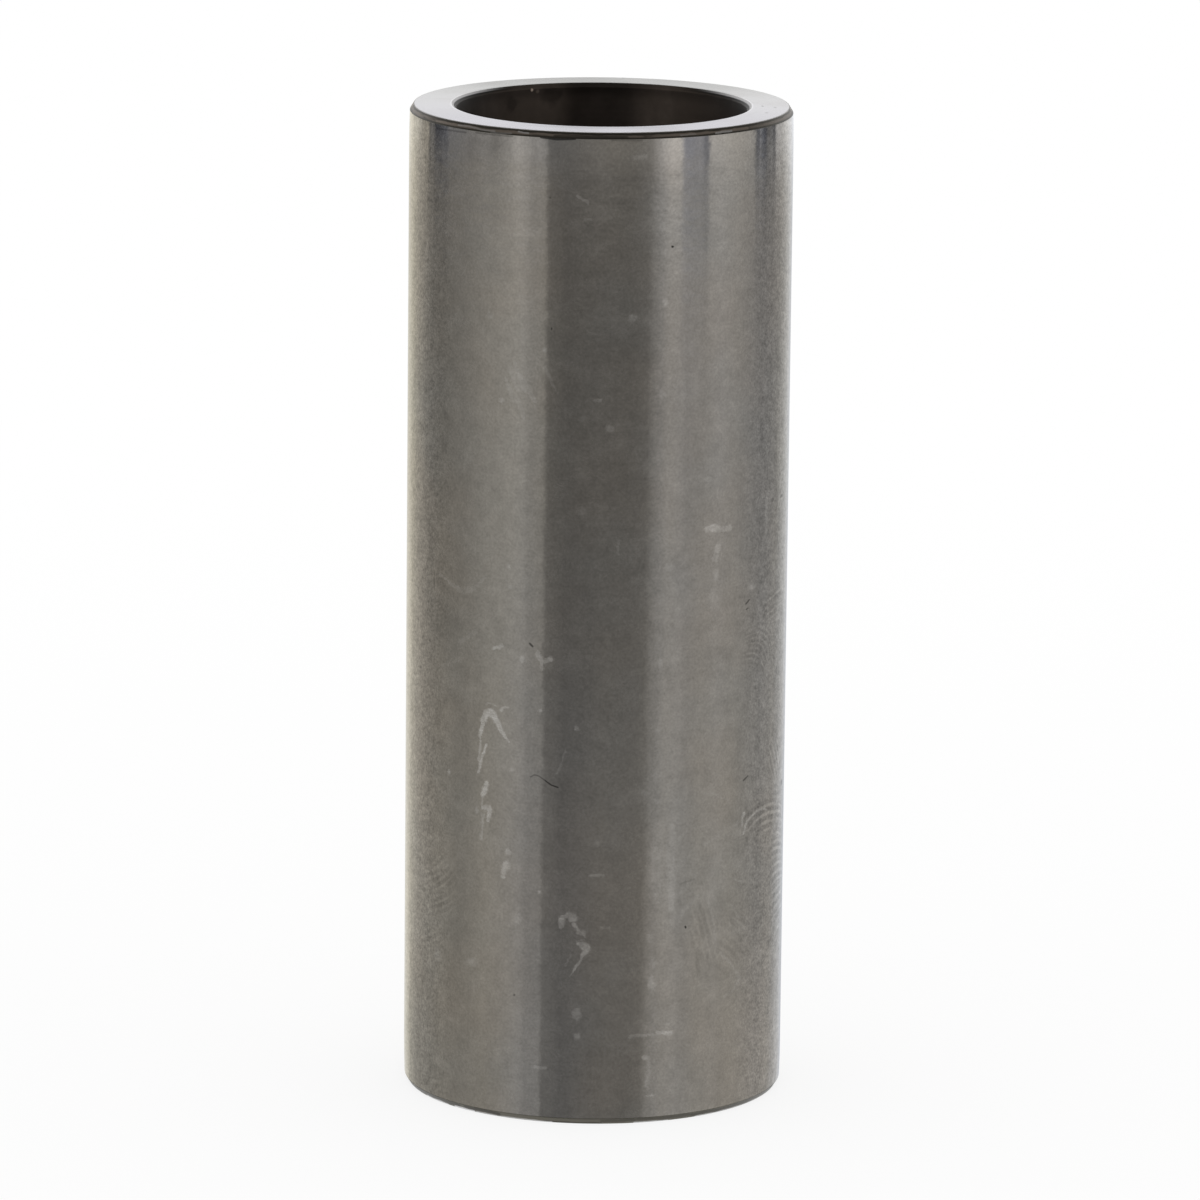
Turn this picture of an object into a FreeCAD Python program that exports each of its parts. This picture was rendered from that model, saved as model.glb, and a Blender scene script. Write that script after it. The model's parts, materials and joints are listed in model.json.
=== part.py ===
# Piston pin: one hollow steel pin, turned from bar, hardened and ground outside.
# It stands on one end: the origin is the centre of the lower end face and +Z runs along the axis.
# All lengths are in millimetres.
import FreeCAD, Part
import os
import Sketcher

# Driving sizes. Each can be changed by itself.
SIZES = {
    # the ground surface that runs in the rod's eye and the piston's bosses
    "outside_diameter": 23.0,
    # from one end face to the other
    "pin_length": 60.0,
    # from the ground surface in to the bore
    "wall_thickness": 2.8,
    # the outer edges, left as turned: across the end face, and along the pin
    "edge_chamfer_width": 0.27,
    "edge_chamfer_height": 0.36,
    # the 45 degree chamfer at both mouths of the bore
    "mouth_chamfer": 0.25,
}

# Radii and heights that follow from the driving sizes, as the sheet's names for them.
OUTSIDE_RADIUS = "sizes.outside_diameter / 2"
BORE_RADIUS = "sizes.outside_diameter / 2 - sizes.wall_thickness"
PIN_LENGTH = "sizes.pin_length"
EDGE_WIDTH = "sizes.edge_chamfer_width"
EDGE_HEIGHT = "sizes.edge_chamfer_height"
MOUTH = "sizes.mouth_chamfer"

# A sketch's own origin, as the geometry index and point index that constraints use.
SKETCH_ORIGIN = (-1, 1)
START = 1
END = 2


def fill_sheet(doc):
    """The spreadsheet that holds the driving sizes, one alias each."""
    sheet = doc.addObject("Spreadsheet::Sheet", "sizes")
    for row, (alias, value) in enumerate(SIZES.items(), start=1):
        sheet.set(f"A{row}", alias)
        sheet.set(f"B{row}", str(value))
        sheet.setAlias(f"B{row}", alias)
    doc.recompute()
    return sheet


def origin_plane(body, role):
    """One of the body's own origin planes, by its role."""
    return next(plane for plane in body.Origin.OriginFeatures if plane.Role == role)


def section_corners(sheet):
    """Corners of the half section, radius by height, counter-clockwise from the lower bore mouth."""
    outside = sheet.outside_diameter / 2
    bore = outside - sheet.wall_thickness
    top = sheet.pin_length
    width = sheet.edge_chamfer_width
    height = sheet.edge_chamfer_height
    mouth = sheet.mouth_chamfer
    return [
        (bore, mouth),
        (bore + mouth, 0),
        (outside - width, 0),
        (outside, height),
        (outside, top - height),
        (outside - width, top),
        (bore + mouth, top),
        (bore, top - mouth),
    ]


def draw_section(body, sheet):
    """The half section of the pin, fully constrained and bound to the sheet."""
    sketch = body.newObject("Sketcher::SketchObject", "half_section")
    sketch.AttachmentSupport = [(origin_plane(body, "XZ_Plane"), "")]
    sketch.MapMode = "FlatFace"

    corners = [FreeCAD.Vector(radius, height, 0) for radius, height in section_corners(sheet)]
    lines = [
        sketch.addGeometry(Part.LineSegment(start, end), False)
        for start, end in zip(corners, corners[1:] + corners[:1])
    ]
    lower_mouth, lower_face, lower_edge, ground_land, upper_edge, upper_face, upper_mouth, bore_wall = lines

    for line, following in zip(lines, lines[1:] + lines[:1]):
        sketch.addConstraint(Sketcher.Constraint("Coincident", line, END, following, START))
    for line in (lower_face, upper_face):
        sketch.addConstraint(Sketcher.Constraint("Horizontal", line))
    for line in (ground_land, bore_wall):
        sketch.addConstraint(Sketcher.Constraint("Vertical", line))
    # the lower end face lies on the plane that the pin stands on
    sketch.addConstraint(Sketcher.Constraint("PointOnObject", lower_face, START, -1))

    def size(name, kind, first, second, value, expression):
        """One named dimension from the first point to the second, tied to the sheet."""
        sketch.addConstraint(Sketcher.Constraint(kind, *first, *second, value))
        sketch.renameConstraint(sketch.ConstraintCount - 1, name)
        sketch.setExpression(f"Constraints.{name}", expression)

    bore, mouth = corners[0].x, corners[0].y
    outside, edge_height = corners[3].x, corners[3].y
    edge_width = corners[3].x - corners[2].x
    top = corners[5].y
    size("outside_radius", "DistanceX", SKETCH_ORIGIN, (ground_land, START), outside, OUTSIDE_RADIUS)
    size("bore_radius", "DistanceX", SKETCH_ORIGIN, (bore_wall, START), bore, BORE_RADIUS)
    size("top_height", "DistanceY", SKETCH_ORIGIN, (upper_face, START), top, PIN_LENGTH)
    size("lower_edge_width", "DistanceX", (lower_edge, START), (lower_edge, END), edge_width, EDGE_WIDTH)
    size("lower_edge_height", "DistanceY", (lower_edge, START), (lower_edge, END), edge_height, EDGE_HEIGHT)
    size("upper_edge_width", "DistanceX", (upper_edge, END), (upper_edge, START), edge_width, EDGE_WIDTH)
    size("upper_edge_height", "DistanceY", (upper_edge, START), (upper_edge, END), edge_height, EDGE_HEIGHT)
    size("lower_mouth_width", "DistanceX", (lower_mouth, START), (lower_mouth, END), mouth, MOUTH)
    size("lower_mouth_height", "DistanceY", (lower_mouth, END), (lower_mouth, START), mouth, MOUTH)
    size("upper_mouth_width", "DistanceX", (upper_mouth, END), (upper_mouth, START), mouth, MOUTH)
    size("upper_mouth_height", "DistanceY", (upper_mouth, END), (upper_mouth, START), mouth, MOUTH)
    return sketch


def make_piston_pin(doc, sheet):
    """The pin: its half section turned once round the axis."""
    body = doc.addObject("PartDesign::Body", "piston_pin")
    body.Label = "piston_pin"
    body.Placement = FreeCAD.Placement()
    sketch = draw_section(body, sheet)
    turned = body.newObject("PartDesign::Revolution", "turned_form")
    turned.Profile = sketch
    turned.ReferenceAxis = (sketch, ["V_Axis"])
    turned.Angle = 360
    doc.recompute()
    if not sketch.FullyConstrained:
        raise RuntimeError("half_section: the sketch isn't fully constrained")
    return body


def check(doc, bodies):
    """Stops at any failed object or faulty shape."""
    for thing in doc.Objects:
        if "Invalid" in thing.State or "Error" in thing.State:
            raise RuntimeError(f"{thing.Name}: {thing.State}")
    for body in bodies:
        if body.Shape.isNull() or not body.Shape.isValid() or len(body.Shape.Solids) != 1:
            raise RuntimeError(f"{body.Label}: its shape isn't one valid solid")


def write_parts(bodies):
    """One STEP file for each sub-part, named by its label."""
    os.makedirs("parts", exist_ok=True)
    for body in bodies:
        body.Shape.exportStep(f"parts/{body.Label}.step")
        box = body.Shape.BoundBox
        print(
            f"{body.Label}: {box.XLength:.3f} x {box.YLength:.3f} x {box.ZLength:.3f} mm,"
            f" volume {body.Shape.Volume:.1f} mm3"
        )


document = FreeCAD.newDocument("piston_pin_model")
size_sheet = fill_sheet(document)
pieces = [make_piston_pin(document, size_sheet)]
check(document, pieces)
write_parts(pieces)
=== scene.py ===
import json
import math

import bpy
import numpy as np
from mathutils import Matrix, Vector

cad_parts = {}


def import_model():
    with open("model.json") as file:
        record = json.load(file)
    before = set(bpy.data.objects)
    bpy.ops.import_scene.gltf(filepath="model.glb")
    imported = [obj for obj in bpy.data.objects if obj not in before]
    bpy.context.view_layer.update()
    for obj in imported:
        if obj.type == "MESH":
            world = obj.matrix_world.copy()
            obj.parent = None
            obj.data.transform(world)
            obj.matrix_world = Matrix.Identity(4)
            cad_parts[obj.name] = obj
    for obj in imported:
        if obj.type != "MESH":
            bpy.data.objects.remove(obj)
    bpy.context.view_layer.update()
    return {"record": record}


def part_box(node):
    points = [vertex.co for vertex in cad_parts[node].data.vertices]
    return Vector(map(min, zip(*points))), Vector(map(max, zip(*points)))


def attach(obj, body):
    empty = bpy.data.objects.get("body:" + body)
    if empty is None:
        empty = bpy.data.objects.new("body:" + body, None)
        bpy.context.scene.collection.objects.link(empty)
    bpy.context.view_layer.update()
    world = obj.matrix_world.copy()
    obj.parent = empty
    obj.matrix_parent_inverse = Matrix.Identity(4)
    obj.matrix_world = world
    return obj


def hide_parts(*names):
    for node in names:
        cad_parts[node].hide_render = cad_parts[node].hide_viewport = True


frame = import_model()

MM = 0.001

# The pin, from the frame. Radii and lengths in millimetres.
low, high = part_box("piston_pin")
mounts = {mount["name"]: mount for mount in frame["record"]["mounts"]}
LENGTH = (high.z - low.z) / MM
OUTSIDE = mounts["outside"]["dims"]["r_mm"]
BORE = mounts["bore"]["dims"]["r_mm"]
EDGE_HEIGHT = (LENGTH - mounts["outside"]["dims"]["length_mm"]) / 2
MOUTH = (LENGTH - mounts["bore"]["dims"]["length_mm"]) / 2
EDGE_WIDTH = 0.75 * EDGE_HEIGHT

# Form details finer than the CAD solid's, in millimetres.
EDGE_ROUNDING = 0.05
MOUTH_ROUNDING = 0.08
RELIEF_LENGTH = 3.0
RELIEF_DEPTH = 0.04
COLUMNS = 640


def in_scene(name, data):
    """A new object with this data, in the scene."""
    thing = bpy.data.objects.new(name, data)
    bpy.context.scene.collection.objects.link(thing)
    return thing


# Section of the pin


def rounded_corner(before, corner, after, radius, steps=4):
    """Points and outward normals round one corner of the section."""
    before, corner, after = (np.array(p, float) for p in (before, corner, after))
    into = (corner - before) / np.linalg.norm(corner - before)
    out = (after - corner) / np.linalg.norm(after - corner)
    turn = math.acos(float(np.clip(into @ out, -1, 1)))
    back = radius * math.tan(turn / 2)
    start = corner - into * back
    normal = np.array([into[1], -into[0]])
    centre = start - normal * radius
    points = []
    for k in range(steps + 1):
        a = turn * k / steps
        spun = np.array([
            normal[0] * math.cos(a) - normal[1] * math.sin(a),
            normal[0] * math.sin(a) + normal[1] * math.cos(a),
        ])
        points.append((centre + spun * radius, spun))
    return points


def relief(height):
    """How far the wall falls back near the pin's ends, and its slope there."""
    from_end = min(height, LENGTH - height) - EDGE_HEIGHT
    share = max(0.0, 1 - from_end / RELIEF_LENGTH)
    fall = RELIEF_DEPTH * share**3
    slope = 3 * RELIEF_DEPTH * share**2 / RELIEF_LENGTH
    return fall, slope if height > LENGTH / 2 else -slope


def section():
    """Rows of the section, counter-clockwise: (radius, height, normal, region after the row)."""
    corners = [
        (BORE + MOUTH, 0), (OUTSIDE - EDGE_WIDTH, 0), (OUTSIDE, EDGE_HEIGHT),
        (OUTSIDE, LENGTH - EDGE_HEIGHT), (OUTSIDE - EDGE_WIDTH, LENGTH), (BORE + MOUTH, LENGTH),
        (BORE, LENGTH - MOUTH), (BORE, MOUTH),
    ]
    radii = [MOUTH_ROUNDING] + 4 * [EDGE_ROUNDING] + 3 * [MOUTH_ROUNDING]
    regions = ["lower_face", "lower_edge", "wall", "upper_edge",
               "upper_face", "upper_mouth", "bore", "lower_mouth"]
    inner_rows = {"lower_face": 5, "upper_face": 5, "wall": 52, "bore": 20}
    rows = []
    count = len(corners)
    rounds = [
        rounded_corner(corners[k - 1], corners[k], corners[(k + 1) % count], radii[k])
        for k in range(count)
    ]
    for k, region in enumerate(regions):
        # a corner's rounding belongs to the edge or mouth beside it
        corner_region = region if region not in inner_rows else regions[k - 1]
        for point, normal in rounds[k][:-1]:
            rows.append((point, normal, corner_region))
        end_point, end_normal = rounds[k][-1]
        rows.append((end_point, end_normal, region))
        following = rounds[(k + 1) % count][0][0]
        inner = inner_rows.get(region, 1)
        for step in range(1, inner):
            share = step / inner
            if region == "wall":
                # closer rows near the ends, where the wall falls back
                share = 0.5 - 0.5 * math.cos(math.pi * share)
            rows.append((end_point + (following - end_point) * share, end_normal, region))
    shaped = []
    for point, normal, region in rows:
        radius, height = point
        if radius > OUTSIDE - EDGE_WIDTH / 2:
            fall, slope = relief(height)
            radius -= fall
            if region == "wall":
                normal = np.array([1.0, slope]) / math.hypot(1.0, slope)
        shaped.append((radius, height, normal, region))
    return shaped


# Rows of the bake layout: the share of the map's height that each region gets.
LAYOUT = {
    "wall": 0.74, "bore": 0.10, "upper_face": 0.03, "lower_face": 0.03,
    "upper_edge": 0.014, "lower_edge": 0.014, "upper_mouth": 0.012, "lower_mouth": 0.012,
}
LAYOUT_GAP = 0.005
LAYOUT_SIDE = 0.004
FINISH = {
    "upper_face": 0, "lower_face": 0, "upper_edge": 1, "lower_edge": 1,
    "upper_mouth": 2, "lower_mouth": 2, "bore": 2,
}
FIRST_WALL_FINISH = 3

# The wall's zones: degrees from the front, and heights. Each finish has only the marks in its reach.
ZONE_ANGLES = (-180.0, -90.0, -45.0, -22.5, 11.25, 33.75, 90.0, 180.0)
ZONE_HEIGHTS = (0.0, 27.0, LENGTH)
ZONES = [
    (left, right, bottom, top)
    for left, right in zip(ZONE_ANGLES, ZONE_ANGLES[1:])
    for bottom, top in zip(ZONE_HEIGHTS, ZONE_HEIGHTS[1:])
]
ZONE_MARGIN = 2.0


def zone_at(degrees, height):
    """Number of the zone at a place on the wall."""
    for number, (left, right, bottom, top) in enumerate(ZONES):
        if left <= degrees < right and bottom <= height < top:
            return number
    raise ValueError(f"no zone at {degrees} degrees and {height} mm")


def in_reach(zone, points, reach):
    """True if a mark through these points, as degrees and height, comes near the zone."""
    left, right, bottom, top = zone
    reach += ZONE_MARGIN
    turn = math.degrees(reach / OUTSIDE)
    angles, heights = zip(*points)
    beside = min(angles) - turn < right and max(angles) + turn > left
    return beside and min(heights) - reach < top and max(heights) + reach > bottom


def lathe():
    """The pin's surface: its section turned once round the axis, with exact normals."""
    rows = section()
    angles = math.pi / 2 + 2 * math.pi * np.arange(COLUMNS) / COLUMNS
    cosines, sines = np.cos(angles), np.sin(angles)
    points, normals = [], []
    for radius, height, normal, _ in rows:
        points.append(np.stack([radius * cosines, radius * sines, np.full(COLUMNS, height)], 1))
        normals.append(np.stack([normal[0] * cosines, normal[0] * sines, np.full(COLUMNS, normal[1])], 1))
    points = np.concatenate(points) * MM
    normals = np.concatenate(normals)

    # place of each row in the bake layout
    lengths = {}
    for k, (radius, height, _, region) in enumerate(rows):
        after = rows[(k + 1) % len(rows)]
        lengths.setdefault(region, []).append(math.hypot(after[0] - radius, after[1] - height))
    starts, level = {}, LAYOUT_GAP
    for region, share in LAYOUT.items():
        starts[region] = level
        level += share + LAYOUT_GAP
    travelled = dict.fromkeys(LAYOUT, 0.0)

    faces, uvs, finishes = [], [], []
    for k, (_, bottom, _, region) in enumerate(rows):
        following = (k + 1) % len(rows)
        middle = (bottom + rows[following][1]) / 2
        total = sum(lengths[region])
        step = math.hypot(rows[following][0] - rows[k][0], rows[following][1] - rows[k][1])
        v0 = starts[region] + LAYOUT[region] * travelled[region] / total
        travelled[region] += step
        v1 = starts[region] + LAYOUT[region] * travelled[region] / total
        here, there = k * COLUMNS, following * COLUMNS
        for j in range(COLUMNS):
            beside = (j + 1) % COLUMNS
            faces.append((here + j, here + beside, there + beside, there + j))
            u0, u1 = (LAYOUT_SIDE + (1 - 2 * LAYOUT_SIDE) * column / COLUMNS for column in (j, j + 1))
            uvs.extend((u0, v0, u1, v0, u1, v1, u0, v1))
            if region == "wall":
                finishes.append(FIRST_WALL_FINISH + zone_at(-180 + 360 * (j + 0.5) / COLUMNS, middle))
            else:
                finishes.append(FINISH[region])
    mesh = bpy.data.meshes.new("ground_pin")
    mesh.from_pydata(points.tolist(), [], faces)
    layer = mesh.uv_layers.new(name="OFBake")
    layer.data.foreach_set("uv", uvs)
    mesh.polygons.foreach_set("material_index", finishes)
    mesh.polygons.foreach_set("use_smooth", [True] * len(faces))
    mesh.normals_split_custom_set_from_vertices(normals.tolist())
    mesh.update()
    return mesh


# Shader nodes


# The part of a ridge's wave that shows, and how much it darkens and lightens.
RIDGE_WAVE = (-0.3, 1.0)
RIDGE_TONE = {"low": -0.4, "high": 0.6}


class Paint:
    """A material's node tree, with one short call for each kind of node."""

    def __init__(self, name):
        self.material = bpy.data.materials.new(name)
        self.material.use_nodes = True
        self.tree = self.material.node_tree
        self.shader = self.tree.nodes["Principled BSDF"]

    def feed(self, socket, value):
        if isinstance(value, bpy.types.NodeSocket):
            self.tree.links.new(value, socket)
        else:
            socket.default_value = value

    def node(self, kind, inputs=(), **settings):
        made = self.tree.nodes.new(kind)
        for name, value in settings.items():
            setattr(made, name, value)
        for name, value in dict(inputs).items():
            self.feed(made.inputs[name], value)
        return made

    def give(self, name, value):
        """Feeds one of the shader's own sockets."""
        self.feed(self.shader.inputs[name], value)

    def math(self, operation, first, second=0.0, third=0.0):
        return self.node("ShaderNodeMath", {0: first, 1: second, 2: third}, operation=operation).outputs[0]

    def times(self, first, second):
        return self.math("MULTIPLY", first, second)

    def times_plus(self, first, second, third):
        return self.math("MULTIPLY_ADD", first, second, third)

    def vector(self, operation, first, second=(0, 0, 0), third=(0, 0, 0)):
        made = self.node("ShaderNodeVectorMath", {0: first, 1: second, 2: third}, operation=operation)
        flat = operation in ("LENGTH", "DISTANCE", "DOT_PRODUCT")
        return made.outputs["Value" if flat else "Vector"]

    def scaled(self, vector, factor):
        made = self.node("ShaderNodeVectorMath", {0: vector, "Scale": factor}, operation="SCALE")
        return made.outputs["Vector"]

    def ramp(self, value, start, end, low=0.0, high=1.0):
        """low where the value is at start, high where it is at end, and smooth between them."""
        made = self.node("ShaderNodeMapRange", {"Value": value, "From Min": start, "From Max": end,
                                                "To Min": low, "To Max": high},
                         interpolation_type="SMOOTHSTEP", clamp=False)
        return made.outputs["Result"]

    def parts(self, vector):
        return self.node("ShaderNodeSeparateXYZ", {0: vector}).outputs

    def joined(self, across, up):
        return self.node("ShaderNodeCombineXYZ", {0: across, 1: up}).outputs[0]

    def noise(self, place, detail=2.0, roughness=0.5, colour=False):
        """Noise at a point, or over the pin with these lengths in millimetres."""
        if isinstance(place, tuple):
            place = self.place(place)
        made = self.node("ShaderNodeTexNoise", {"Vector": place, "Scale": 1.0, "Detail": detail,
                                                "Roughness": roughness})
        return made.outputs["Color" if colour else "Fac"]

    def wander(self, lengths, detail=2.0):
        """Noise that points to any side, with these lengths in millimetres."""
        return self.vector("SUBTRACT", self.noise(lengths, detail=detail, colour=True), (0.5, 0.5, 0.5))

    def streaks(self, at, along, across):
        """Noise from -0.5 to 0.5, drawn out as these two directions say."""
        drawn = self.joined(self.vector("DOT_PRODUCT", at, along), self.vector("DOT_PRODUCT", at, across))
        return self.math("SUBTRACT", self.noise(drawn, detail=3.0, roughness=0.6), 0.5)

    def mix(self, factor, first, second):
        made = self.node("ShaderNodeMix", {0: factor, 6: first, 7: second}, data_type="RGBA")
        return made.outputs[2]

    def place(self, stretch):
        """The point in the pin's frame, with one unit for each of these lengths in millimetres."""
        if not hasattr(self, "spot"):
            self.spot = self.node("ShaderNodeTexCoord").outputs["Object"]
        return self.vector("MULTIPLY", self.spot, tuple(1 / (length * MM) for length in stretch))

    def unrolled(self):
        """Millimetres along the surface: round from the front to the right, and up."""
        parts = self.parts(self.place((1, 1, 1)))
        angle = self.math("ARCTAN2", parts["X"], self.times(parts["Y"], -1.0))
        return self.joined(self.times(angle, OUTSIDE), parts["Z"])

    def add_strokes(self, total, at, strokes):
        """Adds soft lines: (width, strength, points as degrees from the front and height).

        A line with two widths tapers from the first to the second.
        """
        for width, strength, points in strokes:
            places = [Vector((math.radians(a) * OUTSIDE, z, 0)) for a, z in points]
            first, last = width if isinstance(width, tuple) else (width, width)
            steps = len(places) - 1
            for step, (start, end) in enumerate(zip(places, places[1:])):
                along = end - start
                reach = self.vector("SUBTRACT", at, start)
                share = self.vector("DOT_PRODUCT", reach, along / along.length_squared)
                share = self.math("MAXIMUM", self.math("MINIMUM", share, 1.0), 0.0)
                away = self.vector("DISTANCE", reach, self.scaled(along, share))
                if first == last:
                    line = self.ramp(away, first / 2, first / 5, high=strength)
                else:
                    half = (first + (last - first) * step / steps) / 2
                    breadth = self.times_plus(share, (last - first) / steps / 2, half)
                    line = self.ramp(self.math("DIVIDE", away, breadth), 1.0, 0.4, high=strength)
                total = self.math("MAXIMUM", total, line)
        return total

    def add_spots(self, total, at, spots):
        """Adds soft ovals: (strength, width, height, degrees from the front, height above the foot)."""
        for strength, width, height, degrees, level in spots:
            stretch = (2 / width, 2 / height, 0)
            shift = (-math.radians(degrees) * OUTSIDE * stretch[0], -level * stretch[1], 0)
            away = self.vector("LENGTH", self.vector("MULTIPLY_ADD", at, stretch, shift))
            total = self.math("MAXIMUM", total, self.ramp(away, 1.0, 0.3, high=strength))
        return total

    def add_prints(self, total, at, prints):
        """Adds fingertip ridges in soft ovals: (strength, pitch, (along, across), middle, lean, bend)."""
        for strength, pitch, size, middle, lean, bend in prints:
            turn = math.radians(lean)
            centre = (math.radians(middle[0]) * OUTSIDE, middle[1], 0)
            reach = self.vector("SUBTRACT", at, centre)
            along = self.vector("DOT_PRODUCT", reach, (math.cos(turn), math.sin(turn), 0))
            across = self.vector("DOT_PRODUCT", reach, (-math.sin(turn), math.cos(turn), 0))
            squared = self.times(along, along)
            bent = self.times_plus(squared, bend, across)
            wave = self.math("SINE", self.times(bent, 2 * math.pi / pitch))
            ridge = self.ramp(wave, *RIDGE_WAVE, **RIDGE_TONE)
            flatness = (size[1] / size[0]) ** 2
            oval = self.times_plus(squared, flatness, self.times(across, across))
            inside = self.ramp(oval, size[1] ** 2 / 4, size[1] ** 2 / 20, high=strength)
            total = self.times_plus(ridge, inside, total)
        return total

    def add_arches(self, total, at, arches):
        """Adds nested arches of fingertip ridges: (strength, pitch, top, lean, bend, contacts)."""
        for strength, pitch, top, lean, bend, contacts in arches:
            shown = self.add_spots(0.0, at, contacts)
            reach = self.vector("SUBTRACT", at, (math.radians(top[0]) * OUTSIDE, top[1], 0))
            along = self.vector("DOT_PRODUCT", reach, (1, lean, 0))
            rise = self.vector("DOT_PRODUCT", reach, (0, 1, 0))
            rise = self.times_plus(self.times(along, along), bend, rise)
            wave = self.math("SINE", self.times(rise, 2 * math.pi / pitch))
            ridge = self.ramp(wave, *RIDGE_WAVE, **RIDGE_TONE)
            total = self.times_plus(ridge, self.times(shown, strength), total)
        return total

    def bump(self, height, rise):
        """Leans the surface as a relief would whose height goes from 0 to this rise in millimetres."""
        made = self.node("ShaderNodeBump", {"Strength": 1.0, "Distance": rise * MM, "Height": height})
        self.give("Normal", made.outputs["Normal"])

    def surface(self, shader):
        """The material, with this shader in place of its own."""
        self.tree.nodes.remove(self.shader)
        self.feed(self.tree.nodes["Material Output"].inputs["Surface"], shader.outputs[0])
        return self.material

    def turned(self, amount):
        """Draws the reflections out along the pin, as turning and grinding do."""
        self.give("Anisotropic", amount)
        self.give("Anisotropic Rotation", 0.25)
        tangent = self.node("ShaderNodeTangent", direction_type="RADIAL", axis="Z")
        self.give("Tangent", tangent.outputs[0])


# Marks on the ground wall


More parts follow.
